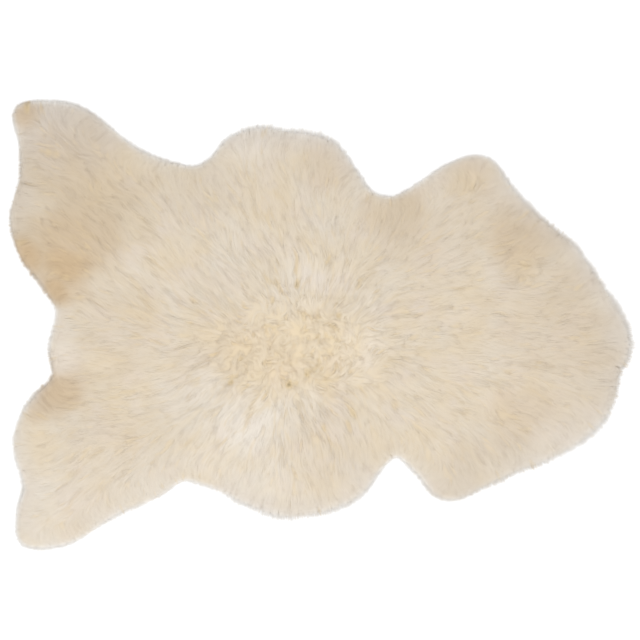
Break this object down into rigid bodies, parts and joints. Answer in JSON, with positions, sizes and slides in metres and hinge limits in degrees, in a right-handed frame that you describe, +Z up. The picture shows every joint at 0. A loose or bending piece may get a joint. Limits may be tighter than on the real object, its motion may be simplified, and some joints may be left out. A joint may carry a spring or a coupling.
{
  "type": "sheepskin rug",
  "caption": "Whole single sheepskin with its natural leg and neck outline, lying flat with a deep ivory fleece parted into locks, to rest on a floor or over a seat.",
  "frame": {"origin": "on the floor under the middle of the rug's box", "axes": "+X along the back towards the neck, +Y across the back, +Z up out of the fleece"},
  "size_m": [0.969, 0.698, 0.0502],
  "materials": {
    "wool": "matt, long soft ivory wool in wavy locks",
    "skin": "soft suede underside"
  },
  "bodies": {
    "root": {"sheepskin": "wool"}
  },
  "joints": []
}
